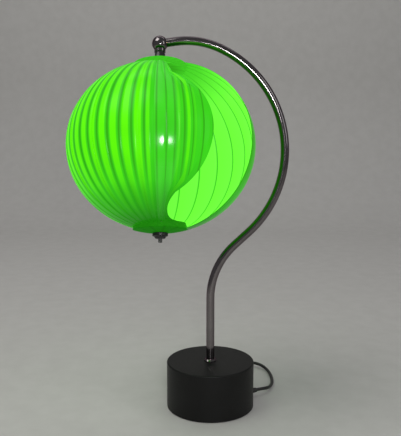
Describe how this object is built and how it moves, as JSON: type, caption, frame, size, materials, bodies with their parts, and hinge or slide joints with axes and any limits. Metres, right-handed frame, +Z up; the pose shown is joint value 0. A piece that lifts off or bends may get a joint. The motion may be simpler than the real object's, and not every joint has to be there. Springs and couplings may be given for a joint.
{
  "type": "rotating motion lamp",
  "caption": "Table lamp with a drum base, hook-shaped chrome tube, ball joint and a hanging globe shade of translucent slats that fan open round its poles.",
  "frame": {"origin": "centre of the base underside, on the table", "axes": "+Z up, +X to the right in the picture towards the bow of the tube, -Y to the viewer"},
  "size_m": [0.3089, 0.3315, 0.5434],
  "materials": {
    "drum_enamel": "matte black enamel",
    "ballast": "as cast",
    "zinc_steel": "zinc plated",
    "foot_pad": "matte",
    "bright_chrome": "mirror polished",
    "brass": "turned",
    "black_plastic": "satin moulded",
    "black_metal": "satin black",
    "white_plastic": "moulded",
    "pale_metal": "satin pale enamel",
    "cord_pvc": "satin",
    "slat_green": "glossy translucent sheet",
    "bulb_glass": "frosted"
  },
  "bodies": {
    "stand": {"base_cover": "drum_enamel", "base_weight": "ballast", "base_plate": "zinc_steel", "base_pad": "foot_pad", "plate_screws": "zinc_steel", "stem_collar": "bright_chrome", "stem_nipple": "zinc_steel", "stem_washer": "zinc_steel", "stem_nut": "zinc_steel", "arm_tube": "bright_chrome", "terminal_block": "white_plastic", "arm_lead": "cord_pvc", "pivot_spigot": "brass", "friction_washer": "black_plastic", "cord_grip": "black_plastic", "mains_cord": "cord_pvc", "switch_base": "black_plastic", "switch_cover": "black_plastic", "cord_coil": "cord_pvc", "coil_tie": "black_plastic", "plug_body": "black_plastic", "plug_blades": "brass"},
    "swivel": {"swivel_ball": "bright_chrome", "ball_screw": "zinc_steel", "neck_ring": "bright_chrome"},
    "shade_core": {"neck_nipple": "brass", "neck_cone": "black_metal", "top_washer": "black_metal", "top_nut": "brass", "shade_frame": "pale_metal", "lampholder": "black_plastic", "bulb_cap": "brass", "bulb_glass": "bulb_glass", "bottom_stud": "black_metal", "bottom_cap": "black_plastic"},
    "rocker": {"switch_rocker": "black_plastic"},
    "slat_01": {"slat_01": "slat_green"},
    "slat_02": {"slat_02": "slat_green"},
    "slat_03": {"slat_03": "slat_green"},
    "slat_04": {"slat_04": "slat_green"},
    "slat_05": {"slat_05": "slat_green"},
    "slat_06": {"slat_06": "slat_green"},
    "slat_07": {"slat_07": "slat_green"},
    "slat_08": {"slat_08": "slat_green"},
    "slat_09": {"slat_09": "slat_green"},
    "slat_10": {"slat_10": "slat_green"},
    "slat_11": {"slat_11": "slat_green"},
    "slat_12": {"slat_12": "slat_green"},
    "slat_13": {"slat_13": "slat_green"},
    "slat_14": {"slat_14": "slat_green"},
    "slat_15": {"slat_15": "slat_green"},
    "slat_16": {"slat_16": "slat_green"},
    "slat_17": {"slat_17": "slat_green"},
    "slat_18": {"slat_18": "slat_green"},
    "slat_19": {"slat_19": "slat_green"},
    "slat_20": {"slat_20": "slat_green"},
    "slat_21": {"slat_21": "slat_green"},
    "slat_22": {"slat_22": "slat_green"},
    "slat_23": {"slat_23": "slat_green"},
    "slat_24": {"slat_24": "slat_green"}
  },
  "joints": [
    {"name": "shade_swing", "type": "hinge", "parent": "stand", "child": "swivel", "pos_m": [-0.0714, 0, 0.53238], "axis": [0.9903, 0, 0.1392], "range_deg": [-43, 77]},
    {"name": "shade_turn", "type": "hinge", "parent": "swivel", "child": "shade_core", "pos_m": [-0.0714, 0, 0.53238], "axis": [-0.01, 0.2924, 0.9563], "range_deg": [-170, 170]},
    {"name": "switch_rock", "type": "hinge", "parent": "stand", "child": "rocker", "pos_m": [0.032, 0.15385, 0.012], "axis": [0, 1, 0], "range_deg": [-16, 0]},
    {"name": "slat_01_turn", "type": "hinge", "parent": "shade_core", "child": "slat_01", "pos_m": [-0.0714, 0, 0.53238], "axis": [-0.01, 0.2924, 0.9563], "range_deg": [-45, 50]},
    {"name": "slat_02_turn", "type": "hinge", "parent": "shade_core", "child": "slat_02", "pos_m": [-0.0714, 0, 0.53238], "axis": [-0.01, 0.2924, 0.9563], "range_deg": [-1.3, 6]},
    {"name": "slat_03_turn", "type": "hinge", "parent": "shade_core", "child": "slat_03", "pos_m": [-0.0714, 0, 0.53238], "axis": [-0.01, 0.2924, 0.9563], "range_deg": [-2.6, 12.4]},
    {"name": "slat_04_turn", "type": "hinge", "parent": "shade_core", "child": "slat_04", "pos_m": [-0.0714, 0, 0.53238], "axis": [-0.01, 0.2924, 0.9563], "range_deg": [-4, 19.3]},
    {"name": "slat_05_turn", "type": "hinge", "parent": "shade_core", "child": "slat_05", "pos_m": [-0.0714, 0, 0.53238], "axis": [-0.01, 0.2924, 0.9563], "range_deg": [-5.5, 26.7]},
    {"name": "slat_06_turn", "type": "hinge", "parent": "shade_core", "child": "slat_06", "pos_m": [-0.0714, 0, 0.53238], "axis": [-0.01, 0.2924, 0.9563], "range_deg": [-7, 34.6]},
    {"name": "slat_07_turn", "type": "hinge", "parent": "shade_core", "child": "slat_07", "pos_m": [-0.0714, 0, 0.53238], "axis": [-0.01, 0.2924, 0.9563], "range_deg": [-8.7, 43]},
    {"name": "slat_08_turn", "type": "hinge", "parent": "shade_core", "child": "slat_08", "pos_m": [-0.0714, 0, 0.53238], "axis": [-0.01, 0.2924, 0.9563], "range_deg": [-10.5, 51.9]},
    {"name": "slat_09_turn", "type": "hinge", "parent": "shade_core", "child": "slat_09", "pos_m": [-0.0714, 0, 0.53238], "axis": [-0.01, 0.2924, 0.9563], "range_deg": [-12.4, 61.4]},
    {"name": "slat_10_turn", "type": "hinge", "parent": "shade_core", "child": "slat_10", "pos_m": [-0.0714, 0, 0.53238], "axis": [-0.01, 0.2924, 0.9563], "range_deg": [-14.4, 71.3]},
    {"name": "slat_11_turn", "type": "hinge", "parent": "shade_core", "child": "slat_11", "pos_m": [-0.0714, 0, 0.53238], "axis": [-0.01, 0.2924, 0.9563], "range_deg": [-16.5, 81.8]},
    {"name": "slat_12_turn", "type": "hinge", "parent": "shade_core", "child": "slat_12", "pos_m": [-0.0714, 0, 0.53238], "axis": [-0.01, 0.2924, 0.9563], "range_deg": [-18.7, 92.7]},
    {"name": "slat_13_turn", "type": "hinge", "parent": "shade_core", "child": "slat_13", "pos_m": [-0.0714, 0, 0.53238], "axis": [-0.01, 0.2924, 0.9563], "range_deg": [-21, 104.2]},
    {"name": "slat_14_turn", "type": "hinge", "parent": "shade_core", "child": "slat_14", "pos_m": [-0.0714, 0, 0.53238], "axis": [-0.01, 0.2924, 0.9563], "range_deg": [-23.4, 116.2]},
    {"name": "slat_15_turn", "type": "hinge", "parent": "shade_core", "child": "slat_15", "pos_m": [-0.0714, 0, 0.53238], "axis": [-0.01, 0.2924, 0.9563], "range_deg": [-25.9, 128.7]},
    {"name": "slat_16_turn", "type": "hinge", "parent": "shade_core", "child": "slat_16", "pos_m": [-0.0714, 0, 0.53238], "axis": [-0.01, 0.2924, 0.9563], "range_deg": [-28.5, 141.7]},
    {"name": "slat_17_turn", "type": "hinge", "parent": "shade_core", "child": "slat_17", "pos_m": [-0.0714, 0, 0.53238], "axis": [-0.01, 0.2924, 0.9563], "range_deg": [-31.2, 155.2]},
    {"name": "slat_18_turn", "type": "hinge", "parent": "shade_core", "child": "slat_18", "pos_m": [-0.0714, 0, 0.53238], "axis": [-0.01, 0.2924, 0.9563], "range_deg": [-33.9, 168.8]},
    {"name": "slat_19_turn", "type": "hinge", "parent": "shade_core", "child": "slat_19", "pos_m": [-0.0714, 0, 0.53238], "axis": [-0.01, 0.2924, 0.9563], "range_deg": [-36.6, 182.3]},
    {"name": "slat_20_turn", "type": "hinge", "parent": "shade_core", "child": "slat_20", "pos_m": [-0.0714, 0, 0.53238], "axis": [-0.01, 0.2924, 0.9563], "range_deg": [-39.3, 195.9]},
    {"name": "slat_21_turn", "type": "hinge", "parent": "shade_core", "child": "slat_21", "pos_m": [-0.0714, 0, 0.53238], "axis": [-0.01, 0.2924, 0.9563], "range_deg": [-42, 209.5]},
    {"name": "slat_22_turn", "type": "hinge", "parent": "shade_core", "child": "slat_22", "pos_m": [-0.0714, 0, 0.53238], "axis": [-0.01, 0.2924, 0.9563], "range_deg": [-44.7, 223]},
    {"name": "slat_23_turn", "type": "hinge", "parent": "shade_core", "child": "slat_23", "pos_m": [-0.0714, 0, 0.53238], "axis": [-0.01, 0.2924, 0.9563], "range_deg": [-47.4, 236.6]},
    {"name": "slat_24_turn", "type": "hinge", "parent": "shade_core", "child": "slat_24", "pos_m": [-0.0714, 0, 0.53238], "axis": [-0.01, 0.2924, 0.9563], "range_deg": [-50, 250]}
  ],
  "couplings": [
    {"joint": "slat_02_turn", "follows": "slat_24_turn", "ratio": 0.023471},
    {"joint": "slat_03_turn", "follows": "slat_24_turn", "ratio": 0.04898},
    {"joint": "slat_04_turn", "follows": "slat_24_turn", "ratio": 0.076529},
    {"joint": "slat_05_turn", "follows": "slat_24_turn", "ratio": 0.10612},
    {"joint": "slat_06_turn", "follows": "slat_24_turn", "ratio": 0.13775},
    {"joint": "slat_07_turn", "follows": "slat_24_turn", "ratio": 0.17141},
    {"joint": "slat_08_turn", "follows": "slat_24_turn", "ratio": 0.20712},
    {"joint": "slat_09_turn", "follows": "slat_24_turn", "ratio": 0.24486},
    {"joint": "slat_10_turn", "follows": "slat_24_turn", "ratio": 0.28465},
    {"joint": "slat_11_turn", "follows": "slat_24_turn", "ratio": 0.32647},
    {"joint": "slat_12_turn", "follows": "slat_24_turn", "ratio": 0.37034},
    {"joint": "slat_13_turn", "follows": "slat_24_turn", "ratio": 0.41624},
    {"joint": "slat_14_turn", "follows": "slat_24_turn", "ratio": 0.46418},
    {"joint": "slat_15_turn", "follows": "slat_24_turn", "ratio": 0.51416},
    {"joint": "slat_16_turn", "follows": "slat_24_turn", "ratio": 0.56618},
    {"joint": "slat_17_turn", "follows": "slat_24_turn", "ratio": 0.62024},
    {"joint": "slat_18_turn", "follows": "slat_24_turn", "ratio": 0.67449},
    {"joint": "slat_19_turn", "follows": "slat_24_turn", "ratio": 0.72874},
    {"joint": "slat_20_turn", "follows": "slat_24_turn", "ratio": 0.78299},
    {"joint": "slat_21_turn", "follows": "slat_24_turn", "ratio": 0.83725},
    {"joint": "slat_22_turn", "follows": "slat_24_turn", "ratio": 0.8915},
    {"joint": "slat_23_turn", "follows": "slat_24_turn", "ratio": 0.94575}
  ]
}
